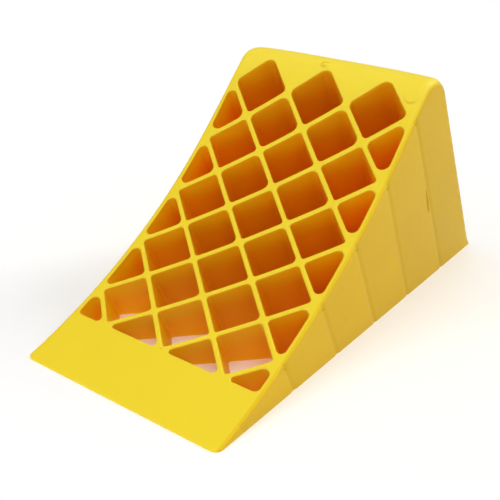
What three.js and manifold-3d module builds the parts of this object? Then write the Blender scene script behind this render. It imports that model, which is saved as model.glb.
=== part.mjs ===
// Wheel chock for a truck or trailer wheel: a wedge of yellow plastic whose concave ramp is an open
// lattice of crossing webs between two side walls, with a closed nose, crest and rear wall.
//
// Units are millimetres. +X is to the right seen from the nose, +Y runs from the nose to the heel and
// +Z is up. The origin is on the ground, in the middle of the chock's width and length.
//
// Every outline below is drawn from the nose (y = 0) and the ground (z = 0). The webs belong to a
// leaning frame: x across the chock, u across the openings and w along them. An opening is a straight
// shaft along w, so the whole lattice is drawn in x and u and its webs run down w to the ground.

import * as THREE from 'three';
import { mergeVertices } from 'three/addons/utils/BufferGeometryUtils.js';
import Module from 'manifold-3d';

const wasm = await Module();
wasm.setup();

// Overall size
const LENGTH = 470;
const WIDTH = 200;
const HEIGHT = 215;

// Side profile
const NOSE_LIP = 1.5;
const NOSE_SLOPE = THREE.MathUtils.degToRad(17.44);
const RAMP_RADIUS = 561;
const CREST_FRONT_RADIUS = 22;
const CREST_REAR_RADIUS = 30;
const REAR_LEAN = THREE.MathUtils.degToRad(33.6);
const HEEL_FLARE = 2.3;
const HEEL_HEIGHT = 10;

// Wall thicknesses, and the gap left between neighbouring pieces
const WALL = 5;
const SKIN = 4.4;
const WEB = 4.4;
const GAP = 0.3;

// Lattice: half pitches across and along the ramp, and the leaning frame
const PITCH_X = 31.17;
const PITCH_U = 29.99;
const LAST_ROW = 10;
const LAST_ROW_U = 57.37;
const SIDE_COLUMN = 3;
const LEAN = THREE.MathUtils.degToRad(29.26);
const FIRST_WEB = -2;
const LAST_WEB = 12;
const FIRST_STIFFENER = 8;
const LAST_STIFFENER = 14;

// Half-lap notches: the room on each side of the crossing web, and the length of one that takes
// the whole end of a web
const NOTCH_CLEARANCE = 0.45;
const END_NOTCH = 13.2;

const COLOUR = '#e8c22a';
const ROUGHNESS = 0.45;
const ARC_STEPS = 12;
const MERGE_DISTANCE = 1e-4;
const FAR = 600;

// Places worked out from the sizes above
const rampCentre = {
  y: -RAMP_RADIUS * Math.sin(NOSE_SLOPE),
  z: NOSE_LIP + RAMP_RADIUS * Math.cos(NOSE_SLOPE),
};
const crestFrontZ = HEIGHT - CREST_FRONT_RADIUS;
const crestFrontDrop = rampCentre.z - crestFrontZ;
const crestFront = {
  y: rampCentre.y + Math.sqrt((RAMP_RADIUS + CREST_FRONT_RADIUS) ** 2 - crestFrontDrop ** 2),
  z: crestFrontZ,
};
const rearOffset = (LENGTH - HEEL_FLARE) * Math.cos(REAR_LEAN);
const crestRearZ = HEIGHT - CREST_REAR_RADIUS;
const crestRear = {
  y: (rearOffset - CREST_REAR_RADIUS - crestRearZ * Math.sin(REAR_LEAN)) / Math.cos(REAR_LEAN),
  z: crestRearZ,
};
const webPitch = Math.hypot(PITCH_X, PITCH_U);
const webAngle = Math.atan2(PITCH_U, PITCH_X);
const innerHalfWidth = WIDTH / 2 - WALL;
const leaning = new THREE.Matrix4().makeRotationX(LEAN);

// A closed three.js geometry as a solid that can be cut and joined
function toSolid(geometry) {
  const bare = geometry.clone();
  bare.deleteAttribute('normal');
  bare.deleteAttribute('uv');
  const merged = mergeVertices(bare, MERGE_DISTANCE);
  const vertProperties = new Float32Array(merged.attributes.position.array);
  const triVerts = new Uint32Array(merged.index.array);
  return new wasm.Manifold(new wasm.Mesh({ numProp: 3, vertProperties, triVerts }));
}

function toGeometry(solid) {
  const mesh = solid.getMesh();
  const positions = new Float32Array(mesh.vertProperties);
  const corners = new Uint32Array(mesh.triVerts);
  const geometry = new THREE.BufferGeometry();
  geometry.setAttribute('position', new THREE.BufferAttribute(positions, 3));
  geometry.setIndex(new THREE.BufferAttribute(corners, 1));
  const faceted = geometry.toNonIndexed();
  faceted.computeVertexNormals();
  return faceted;
}

// A box between two corners, turned and moved by a matrix
function block(low, high, matrix = new THREE.Matrix4()) {
  const size = high.map((value, axis) => value - low[axis]);
  const middle = high.map((value, axis) => (value + low[axis]) / 2);
  const geometry = new THREE.BoxGeometry(...size);
  geometry.translate(...middle);
  geometry.applyMatrix4(matrix);
  return toSolid(geometry);
}

// Everything under the ramp, crest and rear faces, with all three moved inwards by an inset
function under(inset) {
  const radius = RAMP_RADIUS + inset;
  const lowest = rampCentre.z - radius;
  const join = Math.atan2(crestFront.z - rampCentre.z, crestFront.y - rampCentre.y);
  const heelY = (rearOffset - inset - HEEL_HEIGHT * Math.sin(REAR_LEAN)) / Math.cos(REAR_LEAN);
  const frontRadius = CREST_FRONT_RADIUS - inset;
  const rearRadius = CREST_REAR_RADIUS - inset;
  const outline = new THREE.Shape();
  outline.absarc(rampCentre.y, rampCentre.z, radius, -Math.PI / 2, join, false);
  outline.absarc(crestFront.y, crestFront.z, frontRadius, join + Math.PI, Math.PI / 2, true);
  outline.absarc(crestRear.y, crestRear.z, rearRadius, Math.PI / 2, REAR_LEAN, true);
  outline.lineTo(heelY, HEEL_HEIGHT);
  outline.lineTo(LENGTH - inset, 0);
  outline.lineTo(LENGTH - inset, lowest);
  const geometry = new THREE.ExtrudeGeometry(outline, {
    depth: WIDTH,
    bevelEnabled: false,
    curveSegments: ARC_STEPS,
  });
  geometry.translate(0, 0, -WIDTH / 2);
  const upright = new THREE.Matrix4().makeBasis(
    new THREE.Vector3(0, 1, 0),
    new THREE.Vector3(0, 0, 1),
    new THREE.Vector3(1, 0, 0),
  );
  geometry.applyMatrix4(upright);
  return toSolid(geometry);
}

// u of a lattice row; row 0 is at the crest and the last row is at the nose
function rowU(row) {
  return LAST_ROW_U + (LAST_ROW - row) * PITCH_U;
}

// The part of the ramp that the crest covers: the zigzag line of webs at the top of the lattice
// and everything behind it, grown towards the nose by a margin
function behindZigzag(margin) {
  const shift = (WEB / 2 + margin) / Math.cos(webAngle);
  const ends = (SIDE_COLUMN + 1) * PITCH_X;
  const plan = new THREE.Shape();
  plan.moveTo(-ends, FAR);
  for (let column = -SIDE_COLUMN - 1; column <= SIDE_COLUMN + 1; column += 1) {
    const row = Math.abs(column) % 2;
    plan.lineTo(column * PITCH_X, rowU(row) - shift);
  }
  plan.lineTo(ends, FAR);
  const geometry = new THREE.ExtrudeGeometry(plan, { depth: 2 * FAR, bevelEnabled: false });
  geometry.translate(0, 0, -FAR);
  geometry.applyMatrix4(leaning);
  return toSolid(geometry);
}

const outer = under(0);
const inner = under(SKIN);
const betweenWalls = block(
  [-innerHalfWidth + GAP, 0, 0],
  [innerHalfWidth - GAP, LENGTH, HEIGHT],
);

function sideWall(side) {
  const near = side * innerHalfWidth;
  const far = side * WIDTH / 2;
  const slab = block([Math.min(near, far), 0, 0], [Math.max(near, far), LENGTH, HEIGHT]);
  return outer.intersect(slab);
}

// A web's own frame: s along the web from x = 0, its thickness, and w
function webFrame(number, side) {
  const turn = side > 0 ? webAngle : Math.PI - webAngle;
  return new THREE.Matrix4().makeRotationZ(turn).setPosition(0, rowU(number), 0);
}

// The plain plate of a web, before it is trimmed and notched
function webPlate(number, side) {
  return block([-FAR, -WEB / 2, -FAR], [FAR, WEB / 2, FAR], webFrame(number, side));
}

// Half the height of the lattice at a row, where two crossing webs lap
function lapLevel(row) {
  const centre = new THREE.Vector3(0, rampCentre.y, rampCentre.z);
  centre.applyMatrix4(leaning.clone().invert());
  const u = rowU(row);
  const top = centre.z - Math.sqrt(RAMP_RADIUS ** 2 - (u - centre.y) ** 2);
  const ground = -u * Math.tan(LEAN);
  return (top + ground) / 2;
}

// The half-lap notch where a web meets the web of the other family. A web that ends there loses
// the whole end, so that both webs reach the wall, one above the other.
function notch(number, side, row) {
  const column = number - row;
  const half = WEB / 2 + NOTCH_CLEARANCE;
  const endsLow = row === LAST_ROW || column === -SIDE_COLUMN;
  const endsHigh = column === SIDE_COLUMN;
  const from = column * webPitch - (endsLow ? END_NOTCH : half);
  const to = column * webPitch + (endsHigh ? END_NOTCH : half);
  const level = lapLevel(row);
  const low = side > 0 ? -FAR : level - GAP / 2;
  const high = side > 0 ? level + GAP / 2 : FAR;
  return block([from, -WEB, low], [to, WEB, high], webFrame(number, side));
}

// The room that the webs fill, in the leaning frame: up to the open ramp, under the crest's skin,
// and between the nose, the rear wall and the side walls
function latticeRoom() {
  const open = outer.subtract(behindZigzag(GAP));
  const covered = under(SKIN + GAP);
  const behindNose = block([-WIDTH, LAST_ROW_U + GAP, -FAR], [WIDTH, FAR, FAR], leaning);
  const room = open.add(covered).intersect(betweenWalls).intersect(behindNose);
  const upright = leaning.clone().invert().toArray();
  return room.transform(upright);
}

function web(number, side, room) {
  let solid = webPlate(number, side);
  for (let row = -1; row <= LAST_ROW; row += 1) {
    if (Math.abs(number - row) <= SIDE_COLUMN) {
      solid = solid.subtract(notch(number, side, row));
    }
  }
  return solid.intersect(room);
}

// The nose: a skin that runs down to the front edge, a cross wall behind it, and the lattice's
// webs carried on underneath as low stiffeners
function nosePlate() {
  const wedge = outer
    .intersect(betweenWalls)
    .intersect(block([-WIDTH, -FAR, -FAR], [WIDTH, LAST_ROW_U, FAR], leaning));
  const aheadOfCrossWall = block([-WIDTH, -FAR, -FAR], [WIDTH, LAST_ROW_U - SKIN, FAR], leaning);
  let hollow = inner.intersect(aheadOfCrossWall);
  for (const side of [1, -1]) {
    for (let number = FIRST_STIFFENER; number <= LAST_STIFFENER; number += 2) {
      hollow = hollow.subtract(webPlate(number, side).transform(leaning.toArray()));
    }
  }
  return wedge.subtract(hollow);
}

// A frame on the rear face: its origin at the centre of the crest's rear arc, y out of the face
// and z up along it
const rearFrame = new THREE.Matrix4()
  .makeRotationX(REAR_LEAN)
  .setPosition(0, crestRear.y, crestRear.z);

function crestBridge() {
  const aboveRear = block([-WIDTH, -FAR, 0], [WIDTH, FAR, FAR], rearFrame);
  return outer
    .subtract(inner)
    .intersect(betweenWalls)
    .intersect(behindZigzag(0))
    .intersect(aboveRear);
}

function rearWall() {
  const behindCrest = block([-WIDTH, 0, -FAR], [WIDTH, FAR, -GAP], rearFrame);
  return outer.subtract(inner).intersect(betweenWalls).intersect(behindCrest);
}

function piece(name, solid) {
  const material = new THREE.MeshStandardMaterial({
    color: COLOUR,
    roughness: ROUGHNESS,
    metalness: 0,
  });
  const mesh = new THREE.Mesh(toGeometry(solid), material);
  mesh.name = name;
  return mesh;
}

// The webs, counted from the crest to the nose, in the leaning frame
function lattice() {
  const group = new THREE.Group();
  group.rotation.x = LEAN;
  const room = latticeRoom();
  for (const [family, side] of [['right_rising_web', 1], ['left_rising_web', -1]]) {
    for (let number = FIRST_WEB; number <= LAST_WEB; number += 2) {
      const count = (number - FIRST_WEB) / 2 + 1;
      group.add(piece(`${family}_${count}`, web(number, side, room)));
    }
  }
  return group;
}

const chock = new THREE.Group();
const fromNose = new THREE.Group();
fromNose.position.y = -LENGTH / 2;
chock.add(fromNose);
fromNose.add(
  piece('nose_plate', nosePlate()),
  piece('crest_bridge', crestBridge()),
  piece('rear_wall', rearWall()),
  piece('left_side_wall', sideWall(-1)),
  piece('right_side_wall', sideWall(1)),
  lattice(),
);

export default chock;
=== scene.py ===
"""Looks of the wheel chock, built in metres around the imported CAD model.

The real chock is one moulding, so its whole skin is made first as one closed body: the wedge with
its rounded side edges, then the lattice openings with their rounded rims, the hollows underneath
and the traces of moulding, which are faint sink lines, dimples, a slit, and pin and gate marks.
That body is then divided along planes into one closed piece for each CAD node, so neighbouring
pieces meet with no gap and no step.

Plan coordinates: x runs across the chock and u along the lattice, at right angles to the openings,
which are straight shafts along w. Rows count from the crest (0) to the nose (10), and columns from
the middle. y is measured from the nose and z from the ground.
"""

import math

import bmesh
import bpy
from mathutils import Matrix, Vector


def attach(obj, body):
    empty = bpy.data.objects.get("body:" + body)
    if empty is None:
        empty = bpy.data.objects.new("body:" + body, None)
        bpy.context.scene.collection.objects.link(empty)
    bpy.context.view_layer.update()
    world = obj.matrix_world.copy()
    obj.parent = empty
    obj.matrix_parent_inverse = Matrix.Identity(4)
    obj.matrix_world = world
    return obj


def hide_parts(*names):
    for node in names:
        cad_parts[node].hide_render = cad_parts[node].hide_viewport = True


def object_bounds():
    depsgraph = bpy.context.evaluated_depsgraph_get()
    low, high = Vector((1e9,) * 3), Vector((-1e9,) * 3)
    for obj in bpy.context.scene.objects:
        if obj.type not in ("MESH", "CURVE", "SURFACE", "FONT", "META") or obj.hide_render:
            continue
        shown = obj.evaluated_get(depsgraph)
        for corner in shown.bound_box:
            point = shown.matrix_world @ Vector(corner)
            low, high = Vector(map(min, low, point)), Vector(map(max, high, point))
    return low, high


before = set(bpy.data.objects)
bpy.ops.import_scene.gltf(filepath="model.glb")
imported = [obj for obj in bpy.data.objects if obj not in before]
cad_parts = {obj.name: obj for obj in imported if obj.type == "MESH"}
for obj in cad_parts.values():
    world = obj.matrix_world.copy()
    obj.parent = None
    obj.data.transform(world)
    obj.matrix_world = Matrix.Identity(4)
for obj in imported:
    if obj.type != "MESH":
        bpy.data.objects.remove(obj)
cad_low, cad_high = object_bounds()

WIDTH = cad_high.x - cad_low.x
LENGTH = cad_high.y - cad_low.y
HEIGHT = cad_high.z - cad_low.z
HALF_WIDTH = WIDTH / 2
NOSE_Y = cad_low.y

# Side profile
NOSE_LIP = 0.0015
NOSE_SLOPE = math.radians(17.44)
RAMP_RADIUS = 0.561
CREST_FRONT_RADIUS = 0.022
CREST_REAR_RADIUS = 0.030
REAR_LEAN = math.radians(33.6)
HEEL_FLARE = 0.0023
HEEL_HEIGHT = 0.010

# Walls
WALL = 0.005
SKIN = 0.0044
WEB = 0.0044
INNER_HALF_WIDTH = HALF_WIDTH - WALL

# Lattice
PITCH_X = 0.03117
PITCH_U = 0.02999
LAST_ROW = 10
LAST_ROW_U = 0.05737
SIDE_COLUMN = 3
LEAN = math.radians(29.26)
FIRST_WEB = -2
LAST_WEB = 12

# The side edges grow rounder from CREST_STARTS up to the top, and stay part as round down the rear
SIDE_EDGE_RADIUS = 0.003
CREST_EDGE_RADIUS = 0.008
CREST_STARTS = 0.150
REAR_EDGE_SHARE = 0.6

# How far the crest's ends drop below its middle, and the height at which that starts
CREST_CROWN = 0.0018
CROWN_STARTS = 0.188

# Corners of the plan, and rims of the openings
NOSE_CORNER_RADIUS = 0.007
HEEL_CORNER_RADIUS = 0.0015
RIM_RADIUS = 0.0016
RIM_TURN = math.radians(80)
RIM_ABOVE_SURFACE = 0.00005
CREST_EDGE_SHIFT = 0.0018

# Corners along the openings. Lists run top, left, right, bottom as seen from the nose.
FIRST_ROW_CORNERS = (0.0080, 0.0055, 0.0048, 0.0040)
ODD_ROW_CORNERS = (0.0036, 0.0030, 0.0030, 0.0026)
EVEN_ROW_CORNER_SHARES = (1.15, 0.85, 1.1, 0.7)
EVEN_ROW_CORNER = 0.0030
EVEN_ROW_CORNER_GAIN = 0.0035
WALL_CORNER_ABOVE = 0.0055
WALL_CORNER_BELOW = 0.0045
WALL_CORNER_SHARE = 0.9
CREST_HOLLOW_CORNER = 0.003
NOSE_HOLLOW_CORNER = 0.002
LONGEST_CORNER_SHARE = 0.48
HIDDEN_ROWS = 3

# Traces of moulding: sinks where webs meet a side wall, a dimple at the top of each, and a slit
SINK_WIDTH = 0.010
SINK_DEPTH = 0.0007
FIRST_SINK_LEAN = 0.05
DIMPLE_RADIUS = 0.0026
DIMPLE_DEPTH = 0.0015
DIMPLE_BELOW_RIM = 0.0080
SLIT_LENGTH = 0.038
SLIT_WIDTH = 0.0054
SLIT_DEPTH = 0.0024
SLIT_TAPER = 0.5
SLIT_MIDDLE = (0.3295, -0.0745)

# Round marks on the crest, each with its middle (x, u), and a pit where the lattice meets the nose
PIN_MARK = (0.0885, 0.3455)
PIN_MARK_RADIUS = 0.0070
PIN_MARK_ARC = (math.radians(195), math.radians(350))
GATE_MARK = (-0.006, 0.360)
GATE_RADIUS = 0.0032
GATE_MARK_ARC = (0, math.radians(350))
NUB_RADIUS = GATE_RADIUS / 2
NUB_SINK = GATE_RADIUS / 3
MARK_WIDTH = 0.0022
MARK_DEPTH = 0.0016
MARK_END_SHARE = 0.15
MARK_END_LIFT = 0.2
PIT_RADIUS = 0.0013

# The plastic's colours: its yellow, turned orange and darker with depth by painted light and shade
# inside the openings, a painted highlight on rims, and painted shade on the sides and in holes
DEPTH_COLOURS = (
    (0.0, (0.87, 0.665, 0.024)),
    (0.0003, (0.87, 0.665, 0.020)),
    (0.0014, (0.93, 0.50, 0.004)),
    (0.0060, (0.94, 0.43, 0.002)),
    (0.0250, (0.945, 0.35, 0.001)),
    (0.1, (0.92, 0.24, 0.001)),
)
RIM_HIGHLIGHT_COLOUR = (0.98, 0.79, 0.075)
SIDE_SHADE = (0.87, 0.715, 0.18)
HOLE_SHADE = (0.78, 0.62, 0.25)
BLACK = (0, 0, 0)

# How strong the painted highlight on the crest is, and over what height it fades in
CREST_HIGHLIGHT = 0.5
CREST_HIGHLIGHT_FADE = 0.035

# Painted shade in the sinks and marks, and painted light and shade on a side face by panel and
# by distance below the ramp
SINK_SHADE = 0.04
PIN_SHADE = 0.08
GATE_SHADE = 0.16
PANEL_LIGHT_AND_SHADE = 0.04
RAMP_LIGHT = 0.035
GROUND_SHADE = -0.06
TONE_DEPTH = 0.16

# The painted shade in a hole: it fades out up to HOLE_BLEND times its radius, and sets in between
# two depths below the side face, given in sink depths
HOLE_BLEND = 1.1
HOLE_STARTS = 1.2
HOLE_ENDS = 2

# Where the outer faces end and the inside begins
EDGE_MARGIN = 0.003
CREST_MARGIN = 0.006
STEEP = 10
WALL_FACING = (0.55, 0.2)
RIM_FACING = (0.86, 0.6)
UNEVEN_DEPTH = 0.004

# Painted light and shade inside the openings: (from, to) ranges of depth, height or distance from
# the middle, and how much yellower or darker the painted colour is at one end of each
INSIDE_DEPTHS = (0.0015, 0.006)
LOW_HEIGHTS = (0, 0.13)
LOW_YELLOWER = 0.26
LOW_DARKER = 0.10
HIGH_HEIGHTS = (0.12, 0.19)
HIGH_DARKER = 0.10
CREST_HEIGHTS = (0.155, 0.195)
CREST_YELLOWER = -0.16
ASIDE_DISTANCES = (0.055, 0.095)
ASIDE_YELLOWER = 0.15
ASIDE_DARKER = -0.08
# The span of noise for the random mottling of the plastic's own colour, and for its roughness
NOISE_RANGE = (0.3, 0.7)
LEAST_RED = 0.985
LEAST_GREEN = 0.965

# Noise as (scale, detail), and the finish
BROAD_NOISE = (22, 3)
FINE_NOISE = (850, 2)
GRAIN_NOISE = (160, 4)
SPECULAR = 0.15
ROUGHNESS_RANGE = (0.40, 0.52)
BUMP_STRENGTH = 0.35
BUMP_DISTANCE = 0.0002
FINE_BUMP = 0.3
BROAD_BUMP = 3.0

# How finely curves are drawn
RAMP_STEPS = 72
CREST_STEPS = 14
EDGE_STEPS = 6
CROWN_STEPS = 12
CORNER_STEPS = 6
GROOVE_STEPS = 12
STRAIGHT_STEP = 0.006

# Camera
LENS = 58.09
SENSOR_WIDTH = 36
CAMERA_PLACE = (0.37017, -0.59744, 0.37286)
CAMERA_AZIMUTH = math.radians(34.569)
CAMERA_ELEVATION = math.radians(25.175)
CAMERA_ROLL = math.radians(2.469)
NEAREST_SEEN = 0.01
FARTHEST_SEEN = 100

# Floor, backdrop and light
FLOOR_HALF_SIZE = 8
FLOOR_COLOUR = (0.97, 0.97, 0.97)
BACKDROP_RADIUS = 7.5
BACKDROP_SEGMENTS = 48
BACKDROP_RINGS = 24
WHITE = (1, 1, 1)
WORLD_STRENGTH = 0.30
OVERHEAD_STRENGTH = 2.0
OVERHEAD_FROM = (0.10, -0.48, 1.0)
OVERHEAD_SPREAD = math.radians(80)
BACK_STRENGTH = 0.9
BACK_FROM = (0.35, 0.75, 0.60)
BACK_SPREAD = math.radians(20)
MAX_BOUNCES = 20
DIFFUSE_BOUNCES = 16

# Division into pieces: STUB is how far a claim reaches from the middle of a web or a crossing,
# CLEAR keeps two cuts out of one plane, and WALL_CUT lies a little inside the side walls
STUB = 0.009
CLEAR = 0.0006
WALL_CUT = INNER_HALF_WIDTH - 0.0025
NOSE_ZONE_COLUMNS = (-3, -2, 0, 2, 3)
CRUMB_VOLUME = 1e-8

MILLIMETRE = 0.001
FAR = 0.6
TINY = 0.00001
SHARP_ANGLE = math.radians(35)

ramp_centre = Vector((
    -RAMP_RADIUS * math.sin(NOSE_SLOPE),
    NOSE_LIP + RAMP_RADIUS * math.cos(NOSE_SLOPE),
))
crest_front_z = HEIGHT - CREST_FRONT_RADIUS
crest_front = Vector((
    ramp_centre.x
    + math.sqrt((RAMP_RADIUS + CREST_FRONT_RADIUS) ** 2 - (ramp_centre.y - crest_front_z) ** 2),
    crest_front_z,
))
rear_offset = (LENGTH - HEEL_FLARE) * math.cos(REAR_LEAN)
crest_rear_z = HEIGHT - CREST_REAR_RADIUS
crest_rear = Vector((
    (rear_offset - CREST_REAR_RADIUS - crest_rear_z * math.sin(REAR_LEAN)) / math.cos(REAR_LEAN),
    crest_rear_z,
))
web_pitch = math.hypot(PITCH_X, PITCH_U)
web_angle = math.atan2(PITCH_U, PITCH_X)

# From the leaning frame (x, u, w) and from the upright one (x, y from the nose, z) to the model
from_nose = Matrix.Translation((0, NOSE_Y, 0))
leaning = from_nose @ Matrix.Rotation(LEAN, 4, "X")


# ---------------------------------------------------------------- meshes and booleans


def new_object(name, mesh):
    piece = bpy.data.objects.new(name, mesh)
    bpy.context.scene.collection.objects.link(piece)
    return piece


def mesh_object(name, points, faces, matrix):
    """A closed body from points and faces, moved by a matrix, with its faces turned outwards."""
    mesh = bpy.data.meshes.new(name)
    mesh.from_pydata([tuple(matrix @ Vector(point)) for point in points], [], faces)
    work = bmesh.new()
    work.from_mesh(mesh)
    bmesh.ops.recalc_face_normals(work, faces=work.faces)
    work.to_mesh(mesh)
    work.free()
    return new_object(name, mesh)


def loft_faces(first, rings, count):
    """Faces of a loft through rings of count points each, closed at both ends."""
    faces = [[first + k for k in range(count)]]
    for ring in range(rings - 1):
        low = first + ring * count
        for k in range(count):
            after = (k + 1) % count
            faces.append([low + k, low + after, low + count + after, low + count + k])
    faces.append([first + (rings - 1) * count + k for k in range(count)])
    return faces


def lofts(name, bodies, matrix):
    """One object of several separate closed lofts. Each body is a list of rings of points."""
    points, faces = [], []
    for rings in bodies:
        faces.extend(loft_faces(len(points), len(rings), len(rings[0])))
        for ring in rings:
            points.extend(ring)
    return mesh_object(name, points, faces, matrix)


def box(low, high, matrix=from_nose):
    rings = [
        [(low[0], low[1], z), (high[0], low[1], z), (high[0], high[1], z), (low[0], high[1], z)]
        for z in (low[2], high[2])
    ]
    return lofts("box", [rings], matrix)


def discard(*objects):
    for piece in objects:
        mesh = piece.data
        bpy.data.objects.remove(piece)
        bpy.data.meshes.remove(mesh)


def copy_of(piece):
    return new_object(piece.name, piece.data.copy())


def boolean(piece, operation, tool, keep_tool=False):
    """piece with tool joined on, cut out of it, or as its limit."""
    modifier = piece.modifiers.new("boolean", "BOOLEAN")
    modifier.operation = operation
    modifier.solver = "MANIFOLD"
    modifier.object = tool
    apply_modifiers(piece)
    if not keep_tool:
        discard(tool)
    return piece


def apply_modifiers(piece):
    bpy.context.view_layer.update()
    evaluated = piece.evaluated_get(bpy.context.evaluated_depsgraph_get())
    mesh = bpy.data.meshes.new_from_object(evaluated)
    piece.modifiers.clear()
    before = piece.data
    piece.data = mesh
    bpy.data.meshes.remove(before)


# ---------------------------------------------------------------- the side profile


def arc(centre, radius, start, end, steps):
    return [
        centre + radius * Vector((math.cos(angle), math.sin(angle)))
        for angle in (start + (end - start) * k / steps for k in range(steps + 1))
    ]


def profile(inset):
    """The closed outline (y, z) under the ramp, crest and rear faces, moved inwards by inset."""
    join = math.atan2(crest_front.y - ramp_centre.y, crest_front.x - ramp_centre.x)
    lowest = ramp_centre.y - RAMP_RADIUS - SKIN * 3
    heel_y = (rear_offset - inset - HEEL_HEIGHT * math.sin(REAR_LEAN)) / math.cos(REAR_LEAN)
    points = [Vector((ramp_centre.x, lowest))]
    points += arc(ramp_centre, RAMP_RADIUS + inset, -math.pi / 2, join, RAMP_STEPS)
    front_radius = CREST_FRONT_RADIUS - inset
    rear_radius = CREST_REAR_RADIUS - inset
    points += arc(crest_front, front_radius, join + math.pi, math.pi / 2, CREST_STEPS)
    points += arc(crest_rear, rear_radius, math.pi / 2, REAR_LEAN, CREST_STEPS)
    points += [
        Vector((heel_y, HEEL_HEIGHT)),
        Vector((LENGTH - inset, 0)),
        Vector((LENGTH - inset, lowest)),
    ]
    return points


def inside_profile(inset):
    """A body that fills the profile, moved inwards by inset."""
    outline = profile(inset)
    rings = [[(x, point.x, point.y) for point in outline] for x in (-FAR, FAR)]
    return lofts("inside", [rings], from_nose)


def surface_w(u):
    """w of the ramp, or of the crest where it rolls over, at a place u along the lattice."""
    def to_leaning(point):
        return Vector((
            point.x * math.cos(LEAN) + point.y * math.sin(LEAN),
            -point.x * math.sin(LEAN) + point.y * math.cos(LEAN),
        ))

    ramp = to_leaning(ramp_centre)
    crest = to_leaning(crest_front)
    join = ramp + (crest - ramp) * RAMP_RADIUS / (RAMP_RADIUS + CREST_FRONT_RADIUS)
    if u < join.x:
        return ramp.y - math.sqrt(RAMP_RADIUS**2 - (u - ramp.x) ** 2)
    return crest.y + math.sqrt(max(CREST_FRONT_RADIUS**2 - (u - crest.x) ** 2, 0))


# ---------------------------------------------------------------- the lattice in plan


def row_u(row):
    return LAST_ROW_U + (LAST_ROW - row) * PITCH_U


def clipped(polygon, normal, limit):
    """The part of a convex polygon where normal . point is at most limit."""
    kept = []
    for here, after in zip(polygon, polygon[1:] + polygon[:1]):
        d_here = normal.dot(here) - limit
        d_after = normal.dot(after) - limit
        if d_here <= TINY:
            kept.append(here)
        if min(d_here, d_after) < -TINY and max(d_here, d_after) > TINY:
            kept.append(here + (after - here) * d_here / (d_here - d_after))
    return kept


def cell(column, row, low_u, high_u):
    """The sharp outline of a lattice opening, between the side walls and two limits of u."""
    outline = [
        Vector((-INNER_HALF_WIDTH, low_u)),
        Vector((INNER_HALF_WIDTH, low_u)),
        Vector((INNER_HALF_WIDTH, high_u)),
        Vector((-INNER_HALF_WIDTH, high_u)),
    ]
    centre = Vector((column * PITCH_X, row_u(row)))
    for across, along in ((1, 1), (-1, 1), (-1, -1), (1, -1)):
        reach = PITCH_X * math.sin(web_angle) - WEB / 2
        if row == 1 and along > 0:
            reach += CREST_EDGE_SHIFT
        number = row - along - column * across * along
        beyond_wall = abs(column) == SIDE_COLUMN and across * column > 0
        if number >= FIRST_WEB and not beyond_wall:
            normal = Vector((across * math.sin(web_angle), along * math.cos(web_angle)))
            outline = clipped(outline, normal, normal.dot(centre) + reach)
    return outline


def rounded(outline, radius_at):
    """The outline with round corners, as a list of (point, outward normal)."""
    samples = []
    middle_of_outline = sum(outline, Vector((0, 0))) / len(outline)
    count = len(outline)
    for k, corner in enumerate(outline):
        before = outline[k - 1] - corner
        after = outline[(k + 1) % count] - corner
        half = before.angle(after) / 2
        radius = radius_at(corner - middle_of_outline)
        room = LONGEST_CORNER_SHARE * min(before.length, after.length)
        tangent = min(radius / math.tan(half), room)
        used = tangent * math.tan(half)
        middle = (before.normalized() + after.normalized()).normalized()
        centre = corner + middle * (used / math.sin(half))
        start = math.atan2(*reversed(corner + before.normalized() * tangent - centre))
        turn = math.pi - 2 * half
        for step in range(CORNER_STEPS + 1):
            angle = start + turn * step / CORNER_STEPS
            normal = Vector((math.cos(angle), math.sin(angle)))
            samples.append((centre + used * normal, normal))
    return with_straights(samples)


def with_straights(samples):
    """The samples with extra points along the straight stretches between corners."""
    full = []
    for (point, normal), (after, _) in zip(samples, samples[1:] + samples[:1]):
        steps = max(1, round((after - point).length / STRAIGHT_STEP))
        full.append((point, normal))
        for k in range(1, steps):
            full.append((point.lerp(after, k / steps), normal))
    return full


def rim_stations():
    """(outwards, depth) down a rounded rim, from its foot to just above the surface."""
    stations = [
        (RIM_RADIUS * (1 - math.cos(angle)), RIM_RADIUS * (1 - math.sin(angle)))
        for angle in (RIM_TURN * k / EDGE_STEPS for k in range(EDGE_STEPS + 1))
    ]
    out, depth = stations[-1]
    rise = depth + RIM_ABOVE_SURFACE
    stations.append((out + rise * math.tan(RIM_TURN), -RIM_ABOVE_SURFACE))
    return stations


def opening(samples):
    """Rings of the tool that cuts one lattice opening, with its rim flared into a rounded edge."""
    rings = [[(p.x, p.y, -FAR) for p, _ in samples]]
    for out, depth in rim_stations():
        ring = [p + normal * out for p, normal in samples]
        rings.append([(p.x, p.y, surface_w(p.y) - depth) for p in ring])
    rings.append([(x, u, FAR / 2) for x, u, _ in rings[-1]])
    return rings


def shaft(samples):
    """Rings of a plain straight shaft."""
    return [[(p.x, p.y, w) for p, _ in samples] for w in (-FAR, FAR / 2)]


def lattice_cells(rows):
    """(column, row) of each opening's middle in some rows."""
    for row in rows:
        for column in range(-SIDE_COLUMN, SIDE_COLUMN + 1):
            if (column + row) % 2:
                yield column, row


def corner_radii(column, row):
    """Corner radius as a function of the direction from the middle of the opening. Corners are
    rounder towards the crest and a side wall, and in the even rows near the crest."""
    if row == 1:
        top, left, right, bottom = FIRST_ROW_CORNERS
    elif row % 2 == 0:
        base = EVEN_ROW_CORNER + EVEN_ROW_CORNER_GAIN * (LAST_ROW - row) / (LAST_ROW - 2)
        top, left, right, bottom = (share * base for share in EVEN_ROW_CORNER_SHARES)
    else:
        top, left, right, bottom = ODD_ROW_CORNERS

    def radius_at(direction):
        if abs(column) == SIDE_COLUMN and direction.x * column > 0:
            if direction.y > 0:
                return WALL_CORNER_ABOVE
            return max(WALL_CORNER_BELOW, WALL_CORNER_SHARE * top)
        if abs(direction.y) > abs(direction.x):
            return top if direction.y > 0 else bottom
        return right if direction.x > 0 else left

    return radius_at


def fixed(radius):
    return lambda direction: radius


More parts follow.
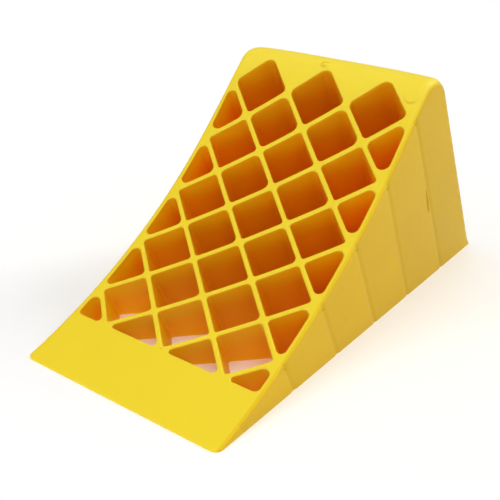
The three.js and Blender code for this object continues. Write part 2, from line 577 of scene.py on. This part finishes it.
def open_cells():
    bodies = [
        opening(rounded(cell(column, row, LAST_ROW_U, FAR), corner_radii(column, row)))
        for column, row in lattice_cells(range(1, LAST_ROW + 1))
    ]
    return lofts("open_cells", bodies, leaning)


def hidden_hollows():
    """The shafts that end under the crest and under the nose. The rearmost row has only its two
    middle shafts."""
    crest_cells = list(lattice_cells(range(-1, 1))) + [(-1, -2), (1, -2)]
    under_crest = [
        shaft(rounded(cell(column, row, 0, FAR), fixed(CREST_HOLLOW_CORNER)))
        for column, row in crest_cells
    ]
    under_nose = [
        shaft(rounded(cell(column, row, -FAR, LAST_ROW_U - SKIN), fixed(NOSE_HOLLOW_CORNER)))
        for column, row in lattice_cells(range(LAST_ROW, LAST_ROW + HIDDEN_ROWS))
    ]
    shafts = lofts("hollows", under_crest + under_nose, leaning)
    return boolean(shafts, "INTERSECT", inside_profile(SKIN))


# ---------------------------------------------------------------- the whole moulding


def smooth_share(value, low, high):
    """0 below low, rising smoothly to 1 above high."""
    share = min(max((value - low) / (high - low), 0), 1)
    return share * share * (3 - 2 * share)


def edge_radius(point):
    """The radius of the wedge's side edges at a point of its profile."""
    share = smooth_share(point.y, CREST_STARTS, HEIGHT)
    if point.x > crest_rear.x:
        share = max(share, REAR_EDGE_SHARE)
    return SIDE_EDGE_RADIUS + (CREST_EDGE_RADIUS - SIDE_EDGE_RADIUS) * share


def wedge_ring(outline, inward, side, turn, across):
    """The wedge's outline at one station: turn runs from a side face (0) over the rounded edge to
    the top (90 degrees), and across shares out the width between the two edges."""
    ring = []
    for point, direction in zip(outline, inward):
        radius = edge_radius(point)
        x = across * side * (HALF_WIDTH - radius * (1 - math.cos(turn)))
        crown = CREST_CROWN * smooth_share(point.y, CROWN_STARTS, HEIGHT) * (x / HALF_WIDTH) ** 4
        moved = point + direction * (radius * (1 - math.sin(turn)) + crown)
        ring.append((x, moved.x, moved.y))
    return ring


def wedge():
    """The solid wedge with rounded side edges and corners and a slightly crowned crest."""
    outline = profile(0)
    inward = [(after - before) / MILLIMETRE for before, after in zip(outline, profile(MILLIMETRE))]
    edge = [math.pi / 2 * k / EDGE_STEPS for k in range(EDGE_STEPS + 1)]
    stations = [(-1, turn, 1) for turn in edge]
    stations += [(1, math.pi / 2, 2 * k / CROWN_STEPS - 1) for k in range(1, CROWN_STEPS)]
    stations += [(1, turn, 1) for turn in reversed(edge)]
    rings = [wedge_ring(outline, inward, *station) for station in stations]
    body = lofts("wedge", [rings], from_nose)
    corners = [(-HALF_WIDTH, 0), (HALF_WIDTH, 0), (HALF_WIDTH, LENGTH), (-HALF_WIDTH, LENGTH)]
    plan = rounded(
        [Vector(corner) for corner in corners],
        lambda direction: NOSE_CORNER_RADIUS if direction.y < 0 else HEEL_CORNER_RADIUS,
    )
    upright = [[(p.x, p.y, z) for p, _ in plan] for z in (0, HEIGHT * 2)]
    return boolean(body, "INTERSECT", lofts("limit", [upright], from_nose))


def sink_groove(side, row):
    """A shallow groove down a side face, where two webs meet the wall behind it. The one nearest
    the crest leans back a little."""
    section = [(SINK_WIDTH, HALF_WIDTH + SINK_WIDTH), (-SINK_WIDTH, HALF_WIDTH + SINK_WIDTH)]
    for k in range(GROOVE_STEPS + 1):
        share = 2 * k / GROOVE_STEPS - 1
        depth = SINK_DEPTH * math.cos(share * math.pi / 2) ** 2 - TINY
        section.append((share * SINK_WIDTH / 2, HALF_WIDTH - depth))
    rings = []
    for w in (-FAR, FAR / 2):
        middle = row_u(row)
        if row == 1:
            middle += FIRST_SINK_LEAN * (surface_w(middle) - w)
        rings.append([(side * x, middle + offset, w) for offset, x in section])
    return rings


def ball(middle, radius):
    """Rings of a ball, closed at its poles by tiny faces."""
    rings = []
    for k in range(GROOVE_STEPS):
        turn = math.pi * (k + 0.5) / GROOVE_STEPS
        ring = []
        for step in range(2 * GROOVE_STEPS):
            around = math.pi * step / GROOVE_STEPS
            ring.append((
                middle[0] + radius * math.cos(turn),
                middle[1] + radius * math.sin(turn) * math.cos(around),
                middle[2] + radius * math.sin(turn) * math.sin(around),
            ))
        rings.append(ring)
    return rings


def slit():
    """The narrow slit in the right face's first sink line, drawn to a point at each end."""
    rings = []
    for k in range(GROOVE_STEPS + 1):
        share = 2 * k / GROOVE_STEPS - 1
        swell = math.sqrt(1 - (share * (1 - TINY)) ** 2)
        half = SLIT_WIDTH / 2 * swell * (1 - SLIT_TAPER * share)
        w = SLIT_MIDDLE[1] + share * SLIT_LENGTH / 2
        low = HALF_WIDTH - SINK_DEPTH - SLIT_DEPTH * swell
        high = HALF_WIDTH + SINK_DEPTH
        u = SLIT_MIDDLE[0]
        rings.append([(high, u - half, w), (high, u + half, w), (low, u, w)])
    return rings


def ring_mark(name, x, u, radius, start, end):
    """A fine round groove that follows the surface between two angles and fades at both ends."""
    rings = []
    steps = 4 * GROOVE_STEPS
    for k in range(steps + 1):
        share = k / steps
        turn = start + (end - start) * share
        fade = MARK_END_SHARE + (1 - MARK_END_SHARE) * math.sin(math.pi * share)
        ring = []
        for step in range(GROOVE_STEPS):
            roll = 2 * math.pi * step / GROOVE_STEPS
            out = radius + MARK_WIDTH / 2 * math.cos(roll)
            along = u + out * math.sin(turn)
            lift = MARK_DEPTH * (math.sin(roll) * fade + MARK_END_LIFT * (1 - fade))
            ring.append((x + out * math.cos(turn), along, surface_w(along) + lift))
        rings.append(ring)
    return lofts(name, [rings], leaning)


def moulding_traces(body):
    """The sink lines and dimples on both side faces, the slit, the pin and gate marks and the
    pit, in the solid body."""
    rows = range(1, LAST_ROW, 2)
    for side in (-1, 1):
        sinks = [sink_groove(side, row) for row in rows]
        body = boolean(body, "DIFFERENCE", lofts("sinks", sinks, leaning))
        x = side * (HALF_WIDTH + DIMPLE_RADIUS - DIMPLE_DEPTH)
        dimples = [
            ball((x, row_u(row), surface_w(row_u(row)) - DIMPLE_BELOW_RIM), DIMPLE_RADIUS)
            for row in rows
        ]
        body = boolean(body, "DIFFERENCE", lofts("dimples", dimples, leaning))
    body = boolean(body, "DIFFERENCE", lofts("slit", [slit()], leaning))
    pin_mark = ring_mark("pin_mark", *PIN_MARK, PIN_MARK_RADIUS, *PIN_MARK_ARC)
    body = boolean(body, "DIFFERENCE", pin_mark)
    gate_mark = ring_mark("gate_mark", *GATE_MARK, GATE_RADIUS, *GATE_MARK_ARC)
    body = boolean(body, "DIFFERENCE", gate_mark)
    nub = (*GATE_MARK, surface_w(GATE_MARK[1]) - NUB_SINK)
    body = boolean(body, "UNION", lofts("gate_nub", [ball(nub, NUB_RADIUS)], leaning))
    pit = (0, LAST_ROW_U, surface_w(LAST_ROW_U))
    return boolean(body, "DIFFERENCE", lofts("pit", [ball(pit, PIT_RADIUS)], leaning))


def moulding():
    body = wedge()
    body = boolean(body, "DIFFERENCE", open_cells())
    body = boolean(body, "DIFFERENCE", hidden_hollows())
    return moulding_traces(body)


# ---------------------------------------------------------------- one piece for each CAD node


def leaning_prism(name, outline):
    """A straight body along w over an outline in x and u."""
    return lofts(name, [[[(*place, w) for place in outline] for w in (-FAR, FAR)]], leaning)


def node_zone(column, row):
    """The room round a lattice node, STUB far along both webs, for the full height."""
    along = STUB * math.sin(web_angle)
    across = STUB * math.cos(web_angle)
    x, u = column * PITCH_X, row_u(row)
    outline = [(x + 2 * across, u), (x, u + 2 * along), (x - 2 * across, u), (x, u - 2 * along)]
    return leaning_prism("zone", outline)


def joined(body, others):
    for other in others:
        body = boolean(body, "UNION", other)
    return body


def side_claim(side):
    far, near = side * FAR, side * WALL_CUT
    slab = box((min(far, near), -FAR, -FAR), (max(far, near), FAR, FAR))
    return joined(slab, [node_zone(side * SIDE_COLUMN, row) for row in range(1, LAST_ROW, 2)])


def nose_claim():
    slab = box((-FAR, -FAR, -FAR), (FAR, LAST_ROW_U + CLEAR, FAR), leaning)
    return joined(slab, [node_zone(column, LAST_ROW) for column in NOSE_ZONE_COLUMNS])


def shell_claim(matrix, low, high):
    """A box, less everything deeper than the skin of the crest and the rear wall."""
    return boolean(box(low, high, matrix), "DIFFERENCE", inside_profile(SKIN + CLEAR))


# The frame on the rear face: its origin at the centre of the crest's rear arc, z up the face
rear_face = (
    from_nose
    @ Matrix.Translation((0, crest_rear.x, crest_rear.y))
    @ Matrix.Rotation(REAR_LEAN, 4, "X")
)


def crest_claim():
    """Behind the zigzag of webs at the top of the lattice, down to the rear wall."""
    columns = range(-SIDE_COLUMN - 1, SIDE_COLUMN + 2)
    shift = (STUB - CLEAR) / math.cos(web_angle)
    outline = [(column * PITCH_X, row_u(abs(column) % 2) - shift) for column in columns]
    outline = [(-outline[-1][0], FAR)] + outline + [(outline[-1][0], FAR)]
    behind = leaning_prism("behind", outline)
    shell = shell_claim(rear_face, (-FAR, -FAR, 0), (FAR, FAR, FAR))
    return boolean(shell, "INTERSECT", behind)


def rear_claim():
    return shell_claim(rear_face, (-FAR, 0, -FAR), (FAR, FAR, 0))


def lap_level(row):
    """Half the height of the lattice at a row, where one web laps over the other."""
    u = row_u(row)
    return (surface_w(u) - u * math.tan(LEAN)) / 2


def web_claim(number, side):
    """A strip along a web. A right-rising one gives up the lower half of each crossing."""
    turn = web_angle if side > 0 else math.pi - web_angle
    matrix = leaning @ Matrix.Translation((0, row_u(number), 0)) @ Matrix.Rotation(turn, 4, "Z")
    half_width = STUB - side * CLEAR
    strip = box((-FAR, -half_width, -FAR), (FAR, half_width, FAR), matrix)
    if side > 0:
        for row in range(FIRST_WEB, LAST_ROW):
            along = (number - row) * web_pitch
            if abs(number - row) < SIDE_COLUMN:
                low = (along - STUB, -2 * STUB, -2 * FAR)
                high = (along + STUB, 2 * STUB, lap_level(row))
                strip = boolean(strip, "DIFFERENCE", box(low, high, matrix))
    return strip


def claims():
    """(node name, claim) in the order in which the pieces are taken off the moulding."""
    yield "left_side_wall", side_claim(-1)
    yield "right_side_wall", side_claim(1)
    yield "nose_plate", nose_claim()
    yield "crest_bridge", crest_claim()
    yield "rear_wall", rear_claim()
    for family, side in (("right_rising_web", 1), ("left_rising_web", -1)):
        for count, number in enumerate(range(FIRST_WEB, LAST_WEB + 1, 2), start=1):
            yield f"{family}_{count}", web_claim(number, side)


def island(start):
    """The faces that hang together with a face."""
    found, waiting = {start}, [start]
    while waiting:
        for edge in waiting.pop().edges:
            for face in edge.link_faces:
                if face not in found:
                    found.add(face)
                    waiting.append(face)
    return found


def volume(faces):
    total = 0
    for face in faces:
        first, *others = [corner.co for corner in face.verts]
        total += sum(first.dot(a.cross(b)) for a, b in zip(others, others[1:])) / 6
    return abs(total)


def drop_crumbs(piece):
    """Remove the flakes of almost no volume that a boolean leaves behind."""
    work = bmesh.new()
    work.from_mesh(piece.data)
    unseen = set(work.faces)
    crumbs = []
    while unseen:
        faces = island(next(iter(unseen)))
        unseen -= faces
        if volume(faces) < CRUMB_VOLUME:
            crumbs.extend(corner for face in faces for corner in face.verts)
    bmesh.ops.delete(work, geom=list(set(crumbs)), context="VERTS")
    work.to_mesh(piece.data)
    work.free()


def divided(body):
    """The moulding as one closed piece for each CAD node, by name."""
    pieces = {}
    for node, claim in claims():
        pieces[node] = boolean(copy_of(body), "INTERSECT", claim, keep_tool=True)
        drop_crumbs(pieces[node])
        body = boolean(body, "DIFFERENCE", claim)
    discard(body)
    return pieces


# ---------------------------------------------------------------- the plastic


class Nodes:
    """Adds and links the nodes of one material."""

    def __init__(self, material):
        material.use_nodes = True
        self.tree = material.node_tree
        self.shader = self.tree.nodes["Principled BSDF"]

    def add(self, kind, **settings):
        node = self.tree.nodes.new(kind)
        for name, value in settings.items():
            setattr(node, name, value)
        return node

    def feed(self, socket, value):
        if isinstance(value, (int, float)):
            socket.default_value = value
        else:
            self.tree.links.new(value, socket)

    def math(self, operation, first, second=0.0):
        node = self.add("ShaderNodeMath", operation=operation)
        self.feed(node.inputs[0], first)
        self.feed(node.inputs[1], second)
        return node.outputs[0]

    def split(self, vector):
        node = self.add("ShaderNodeSeparateXYZ")
        self.tree.links.new(vector, node.inputs[0])
        return node.outputs

    def noise(self, place, scale, detail):
        node = self.add("ShaderNodeTexNoise")
        self.tree.links.new(place, node.inputs["Vector"])
        node.inputs["Scale"].default_value = scale
        node.inputs["Detail"].default_value = detail
        return node.outputs["Fac"]

    def distance(self, place, point):
        node = self.add("ShaderNodeVectorMath", operation="DISTANCE")
        self.tree.links.new(place, node.inputs[0])
        node.inputs[1].default_value = point
        return node.outputs["Value"]

    def spread(self, value, from_low, from_high, to_low, to_high):
        """The value carried from one range to another, and held at its ends."""
        node = self.add("ShaderNodeMapRange")
        self.tree.links.new(value, node.inputs["Value"])
        for name, number in zip(
            ("From Min", "From Max", "To Min", "To Max"), (from_low, from_high, to_low, to_high)
        ):
            node.inputs[name].default_value = number
        return node.outputs["Result"]


def distance_along(nodes, y, z, angle):
    """How far a point lies from the nose in a direction, which is an angle above +Y."""
    return nodes.math(
        "ADD",
        nodes.math("MULTIPLY", nodes.math("SUBTRACT", y, NOSE_Y), math.cos(angle)),
        nodes.math("MULTIPLY", z, math.sin(angle)),
    )


def below_ramp(nodes, y, z):
    """The distance below the ramp's arc."""
    from_centre_y = nodes.math("SUBTRACT", y, NOSE_Y + ramp_centre.x)
    from_centre_z = nodes.math("SUBTRACT", z, ramp_centre.y)
    squares = nodes.math(
        "ADD",
        nodes.math("MULTIPLY", from_centre_y, from_centre_y),
        nodes.math("MULTIPLY", from_centre_z, from_centre_z),
    )
    return nodes.math("SUBTRACT", nodes.math("SQRT", squares), RAMP_RADIUS)


def depth_inside(nodes, place):
    """How deep a point lies inside the moulding: nought on the outer faces and the ground edges,
    and the distance below the ramp on the walls of the openings."""
    x, y, z = nodes.split(place)
    from_side = nodes.math("SUBTRACT", HALF_WIDTH - EDGE_MARGIN, nodes.math("ABSOLUTE", x))
    from_top = nodes.math("SUBTRACT", HEIGHT - CREST_MARGIN, z)
    rear = distance_along(nodes, y, z, REAR_LEAN)
    from_rear = nodes.math("SUBTRACT", rear_offset - CREST_MARGIN, rear)
    depth = below_ramp(nodes, y, z)
    for distance in (from_side, from_top, from_rear, z):
        depth = nodes.math("MINIMUM", depth, nodes.math("MULTIPLY", distance, STEEP))
    return depth


def along_openings(nodes, normal):
    """1 on a face square to the openings, and 0 on their walls."""
    node = nodes.add("ShaderNodeVectorMath", operation="DOT_PRODUCT")
    nodes.tree.links.new(normal, node.inputs[0])
    node.inputs[1].default_value = (0, -math.sin(LEAN), math.cos(LEAN))
    return node.outputs["Value"]


# The plastic's yellow, turned orange and darker with depth by painted light and shade
def depth_colour(nodes, depth):
    ramp = nodes.add("ShaderNodeValToRGB")
    ramp.color_ramp.interpolation = "EASE"
    elements = ramp.color_ramp.elements
    deepest = DEPTH_COLOURS[-1][0]
    while len(elements) < len(DEPTH_COLOURS):
        elements.new(0.5)
    for element, (place, colour) in zip(elements, DEPTH_COLOURS):
        element.position = place / deepest
        element.color = (*colour, 1)
    nodes.feed(ramp.inputs["Fac"], nodes.spread(depth, 0, deepest, 0, 1))
    return ramp.outputs["Color"]


def blended(nodes, kind, share, first, second):
    """Two colours mixed or multiplied. Of the node's many sockets, inputs 6 and 7 and output 2
    are the ones for colours."""
    node = nodes.add("ShaderNodeMix", data_type="RGBA", blend_type=kind)
    nodes.feed(node.inputs["Factor"], share)
    nodes.tree.links.new(first, node.inputs[6])
    if isinstance(second, tuple):
        node.inputs[7].default_value = (*second, 1)
    else:
        nodes.tree.links.new(second, node.inputs[7])
    return node.outputs[2]


def mottle_and_inner_shading(nodes, place, depth, broad):
    """Slow random changes of tone, and painted light and shade inside the openings near the floor,
    walls or crest.
    """
    x, _, z = nodes.split(place)
    aside = nodes.math("ABSOLUTE", x)
    inside = nodes.spread(depth, *INSIDE_DEPTHS, 0, 1)

    yellower = nodes.spread(z, *LOW_HEIGHTS, LOW_YELLOWER, 0)
    yellower = nodes.math("ADD", yellower, nodes.spread(aside, *ASIDE_DISTANCES, 0, ASIDE_YELLOWER))
    yellower = nodes.math("ADD", yellower, nodes.spread(z, *CREST_HEIGHTS, 0, CREST_YELLOWER))
    yellower = nodes.math("MULTIPLY", inside, yellower)

    darker = nodes.spread(z, *LOW_HEIGHTS, LOW_DARKER, 0)
    darker = nodes.math("ADD", darker, nodes.spread(z, *HIGH_HEIGHTS, 0, HIGH_DARKER))
    darker = nodes.math("ADD", darker, nodes.spread(aside, *ASIDE_DISTANCES, 0, ASIDE_DARKER))
    darker = nodes.math("MULTIPLY", inside, darker)

    red = nodes.spread(broad, *NOISE_RANGE, LEAST_RED, 1)
    green = nodes.spread(broad, *NOISE_RANGE, LEAST_GREEN, 1)
    tint = nodes.add("ShaderNodeCombineColor")
    nodes.feed(tint.inputs[0], nodes.math("SUBTRACT", red, darker))
    nodes.feed(tint.inputs[1], nodes.math("ADD", green, yellower))
    tint.inputs[2].default_value = 1
    return tint.outputs[0]


def in_hole(nodes, place, from_middle):
    """1 inside the slit and the right face's dimples, where shade is painted, and 0 elsewhere."""
    holes = [(SLIT_MIDDLE, SLIT_LENGTH / 2)]
    for row in range(1, LAST_ROW, 2):
        u = row_u(row)
        holes.append(((u, surface_w(u) - DIMPLE_BELOW_RIM), 2 * DIMPLE_RADIUS))
    near = 0
    for (u, w), radius in holes:
        away = nodes.distance(place, leaning @ Vector((HALF_WIDTH, u, w)))
        near = nodes.math("MAXIMUM", near, nodes.spread(away, radius, HOLE_BLEND * radius, 1, 0))
    deepest = HALF_WIDTH - HOLE_ENDS * SINK_DEPTH
    shallowest = HALF_WIDTH - HOLE_STARTS * SINK_DEPTH
    return nodes.math("MULTIPLY", near, nodes.spread(from_middle, deepest, shallowest, 1, 0))


def in_ring(nodes, place, mark, radius):
    """1 along the lower part of a round mark on the crest, where shade is painted, and 0 elsewhere.
    """
    x, u = mark
    middle = leaning @ Vector((x, u, surface_w(u)))
    off_ring = nodes.math("ABSOLUTE", nodes.math("SUBTRACT", nodes.distance(place, middle), radius))
    ring = nodes.spread(off_ring, MARK_WIDTH / 4, MARK_WIDTH, 1, 0)
    _, _, z = nodes.split(place)
    return nodes.math("MULTIPLY", ring, nodes.spread(z, middle.z - radius / 2, middle.z, 1, 0))


def crest_highlight_and_mark_shade(nodes, place, colour, on_wall):
    """The colour, with a painted highlight towards the crest and painted shade in the pin and gate
    marks.
    """
    _, _, z = nodes.split(place)
    crest_highlight = nodes.spread(z, HEIGHT - CREST_HIGHLIGHT_FADE, HEIGHT, 0, CREST_HIGHLIGHT)
    crest_highlight = nodes.math("MULTIPLY", crest_highlight, nodes.math("SUBTRACT", 1, on_wall))
    colour = blended(nodes, "MIX", crest_highlight, colour, RIM_HIGHLIGHT_COLOUR)
    for mark, radius, shade in (
        (PIN_MARK, PIN_MARK_RADIUS, PIN_SHADE),
        (GATE_MARK, GATE_RADIUS, GATE_SHADE),
    ):
        share = nodes.math("MULTIPLY", in_ring(nodes, place, mark, radius), shade)
        colour = blended(nodes, "MIX", share, colour, BLACK)
    return colour


def share_of_panel(nodes, y, z):
    """How far a point of a side face lies across its panel, from 0 at the sink line on its nose
    side to 1 at the next one. Only the line nearest the crest leans."""
    u = distance_along(nodes, y, z, LEAN)
    w = distance_along(nodes, y, z, LEAN + math.pi / 2)
    panel = 2 * PITCH_U
    panels = LAST_ROW / 2 - 1
    first_line = row_u(1)
    count = nodes.math("DIVIDE", nodes.math("SUBTRACT", u, row_u(LAST_ROW - 1)), panel)
    ahead = nodes.math("FRACT", nodes.math("MINIMUM", count, panels - TINY))
    below = nodes.math("SUBTRACT", surface_w(first_line), w)
    lean = nodes.math("MULTIPLY", below, FIRST_SINK_LEAN)
    past_first = nodes.math("SUBTRACT", nodes.math("SUBTRACT", u, first_line), lean)
    behind = nodes.math("MINIMUM", nodes.math("DIVIDE", past_first, panel), 1)
    is_behind = nodes.math("GREATER_THAN", past_first, 0)
    return nodes.math(
        "ADD",
        nodes.math("MULTIPLY", ahead, nodes.math("SUBTRACT", 1, is_behind)),
        nodes.math("MULTIPLY", behind, is_behind),
    )


def side_light_and_shade(nodes, place):
    """Painted light and shade over a side face: lighter near the ramp and darker far below it, and
    lighter towards the crest in each panel between two sink lines."""
    _, y, z = nodes.split(place)
    by_panel = nodes.spread(share_of_panel(nodes, y, z), 0, 1, 1 - PANEL_LIGHT_AND_SHADE, 1 + PANEL_LIGHT_AND_SHADE)
    by_depth = nodes.spread(below_ramp(nodes, y, z), 0, TONE_DEPTH, RAMP_LIGHT, GROUND_SHADE)
    tone = nodes.add("ShaderNodeCombineColor")
    for socket in tone.inputs:
        nodes.feed(socket, nodes.math("ADD", by_panel, by_depth))
    return tone.outputs[0]


def side_shading(nodes, place, colour):
    """The colour with painted shade: toned down on the side faces, with painted light and shade
    over them, and a little darker in their sinks and holes.
    """
    x, _, _ = nodes.split(place)
    from_middle = nodes.math("ABSOLUTE", x)
    share = nodes.spread(from_middle, HALF_WIDTH - EDGE_MARGIN, HALF_WIDTH - SINK_DEPTH, 0, 1)
    toned = blended(nodes, "MULTIPLY", share, colour, SIDE_SHADE)
    toned = blended(nodes, "MULTIPLY", share, toned, side_light_and_shade(nodes, place))
    toned = blended(nodes, "MULTIPLY", in_hole(nodes, place, from_middle), toned, HOLE_SHADE)
    sunk = nodes.spread(from_middle, HALF_WIDTH - SINK_DEPTH, HALF_WIDTH, SINK_SHADE, 0)
    return blended(nodes, "MIX", nodes.math("MULTIPLY", share, sunk), toned, BLACK)


def plastic():
    """Satin yellow plastic. The orange inside the openings stands for light that is scattered
    through the plastic, but it is painted by place and is the same in every light."""
    material = bpy.data.materials.new("yellow_plastic")
    nodes = Nodes(material)
    coordinates = nodes.add("ShaderNodeTexCoord")
    place = coordinates.outputs["Object"]
    broad = nodes.noise(place, *BROAD_NOISE)
    fine = nodes.noise(place, *FINE_NOISE)
    grain = nodes.noise(place, *GRAIN_NOISE)

    facing = along_openings(nodes, coordinates.outputs["Normal"])
    on_wall = nodes.spread(facing, *WALL_FACING, 0, 1)
    off_ramp = nodes.spread(facing, *RIM_FACING, 0, 1)
    rim_highlight = nodes.math("MULTIPLY", off_ramp, nodes.math("SUBTRACT", 1, on_wall))
    uneven = nodes.math("MULTIPLY", nodes.math("SUBTRACT", broad, 0.5), UNEVEN_DEPTH)
    depth = nodes.math("MULTIPLY", nodes.math("ADD", depth_inside(nodes, place), uneven), on_wall)
    # A painted highlight on the rounded rims of the openings
    colour = blended(nodes, "MIX", rim_highlight, depth_colour(nodes, depth), RIM_HIGHLIGHT_COLOUR)
    # Random mottling, and painted light and shade inside the openings
    colour = blended(nodes, "MULTIPLY", 1, colour, mottle_and_inner_shading(nodes, place, depth, broad))
    colour = crest_highlight_and_mark_shade(nodes, place, side_shading(nodes, place, colour), on_wall)
    nodes.tree.links.new(colour, nodes.shader.inputs["Base Color"])

    nodes.shader.inputs["Specular IOR Level"].default_value = SPECULAR
    roughness = nodes.spread(grain, *NOISE_RANGE, *ROUGHNESS_RANGE)
    nodes.feed(nodes.shader.inputs["Roughness"], roughness)
    bumps = nodes.add("ShaderNodeBump")
    bumps.inputs["Strength"].default_value = BUMP_STRENGTH
    bumps.inputs["Distance"].default_value = BUMP_DISTANCE
    fine_height = nodes.math("MULTIPLY", fine, FINE_BUMP)
    broad_height = nodes.math("MULTIPLY", broad, BROAD_BUMP)
    nodes.feed(bumps.inputs["Height"], nodes.math("ADD", fine_height, broad_height))
    nodes.tree.links.new(bumps.outputs["Normal"], nodes.shader.inputs["Normal"])
    return material


def finish(piece, name, material):
    mesh = piece.data
    piece.name = f"{name}_skin"
    mesh.name = piece.name
    mesh.materials.clear()
    mesh.materials.append(material)
    mesh.polygons.foreach_set("use_smooth", [True] * len(mesh.polygons))
    mesh.set_sharp_from_angle(angle=SHARP_ANGLE)
    weighted = piece.modifiers.new("normals", "WEIGHTED_NORMAL")
    weighted.keep_sharp = True
    apply_modifiers(piece)
    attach(piece, "root")
    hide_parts(name)


yellow_plastic = plastic()
for node_name, skin in divided(moulding()).items():
    finish(skin, node_name, yellow_plastic)


# ---------------------------------------------------------------- camera, floor and light


def camera():
    """The camera, whose direction is an azimuth, an elevation and a roll about its own axis."""
    data = bpy.data.cameras.new("camera")
    data.lens = LENS
    data.sensor_width = SENSOR_WIDTH
    data.clip_start = NEAREST_SEEN
    data.clip_end = FARTHEST_SEEN
    ahead = Vector((
        -math.sin(CAMERA_AZIMUTH) * math.cos(CAMERA_ELEVATION),
        math.cos(CAMERA_AZIMUTH) * math.cos(CAMERA_ELEVATION),
        -math.sin(CAMERA_ELEVATION),
    ))
    right = Vector((math.cos(CAMERA_AZIMUTH), math.sin(CAMERA_AZIMUTH), 0))
    up = right.cross(ahead)
    rolled_right = right * math.cos(CAMERA_ROLL) + up * math.sin(CAMERA_ROLL)
    rolled_up = -right * math.sin(CAMERA_ROLL) + up * math.cos(CAMERA_ROLL)
    axes = Matrix((rolled_right, rolled_up, -ahead)).transposed()
    seen_from = bpy.data.objects.new("camera", data)
    seen_from.matrix_world = Matrix.Translation(CAMERA_PLACE) @ axes.to_4x4()
    bpy.context.scene.collection.objects.link(seen_from)
    bpy.context.scene.camera = seen_from


def floor():
    """A wide matt floor."""
    half = FLOOR_HALF_SIZE
    mesh = bpy.data.meshes.new("floor")
    corners = [(-half, -half, 0), (half, -half, 0), (half, half, 0), (-half, half, 0)]
    mesh.from_pydata(corners, [], [(0, 1, 2, 3)])
    material = bpy.data.materials.new("floor")
    material.use_nodes = True
    shader = material.node_tree.nodes["Principled BSDF"]
    shader.inputs["Base Color"].default_value = (*FLOOR_COLOUR, 1)
    shader.inputs["Roughness"].default_value = 1
    shader.inputs["Specular IOR Level"].default_value = 0
    mesh.materials.append(material)
    new_object("floor", mesh)


def backdrop():
    """A white backdrop far round the stage. It is only seen: it casts no shadow and no light."""
    mesh = bpy.data.meshes.new("backdrop")
    work = bmesh.new()
    bmesh.ops.create_uvsphere(
        work, u_segments=BACKDROP_SEGMENTS, v_segments=BACKDROP_RINGS, radius=BACKDROP_RADIUS
    )
    work.to_mesh(mesh)
    work.free()
    material = bpy.data.materials.new("backdrop")
    material.use_nodes = True
    tree = material.node_tree
    tree.nodes.clear()
    glow = tree.nodes.new("ShaderNodeEmission")
    glow.inputs["Color"].default_value = (*WHITE, 1)
    output = tree.nodes.new("ShaderNodeOutputMaterial")
    tree.links.new(glow.outputs["Emission"], output.inputs["Surface"])
    mesh.materials.append(material)
    piece = new_object("backdrop", mesh)
    piece.visible_shadow = False
    piece.visible_diffuse = False
    piece.visible_glossy = False
    piece.visible_transmission = False


def surroundings():
    """An even white light from all sides."""
    world = bpy.data.worlds.new("world")
    world.use_nodes = True
    background = world.node_tree.nodes["Background"]
    background.inputs["Color"].default_value = (*WHITE, 1)
    background.inputs["Strength"].default_value = WORLD_STRENGTH
    bpy.context.scene.world = world


def soft_light(name, strength, comes_from, spread):
    """A wide soft white light that comes from a direction."""
    data = bpy.data.lights.new(name, "SUN")
    data.energy = strength
    data.angle = spread
    light = bpy.data.objects.new(name, data)
    light.rotation_euler = Vector(comes_from).to_track_quat("Z", "Y").to_euler()
    bpy.context.scene.collection.objects.link(light)


camera()
floor()
backdrop()
surroundings()
soft_light("overhead", OVERHEAD_STRENGTH, OVERHEAD_FROM, OVERHEAD_SPREAD)
soft_light("back", BACK_STRENGTH, BACK_FROM, BACK_SPREAD)
bpy.context.scene.view_settings.view_transform = "Standard"
bpy.context.scene.cycles.max_bounces = MAX_BOUNCES
bpy.context.scene.cycles.diffuse_bounces = DIFFUSE_BOUNCES
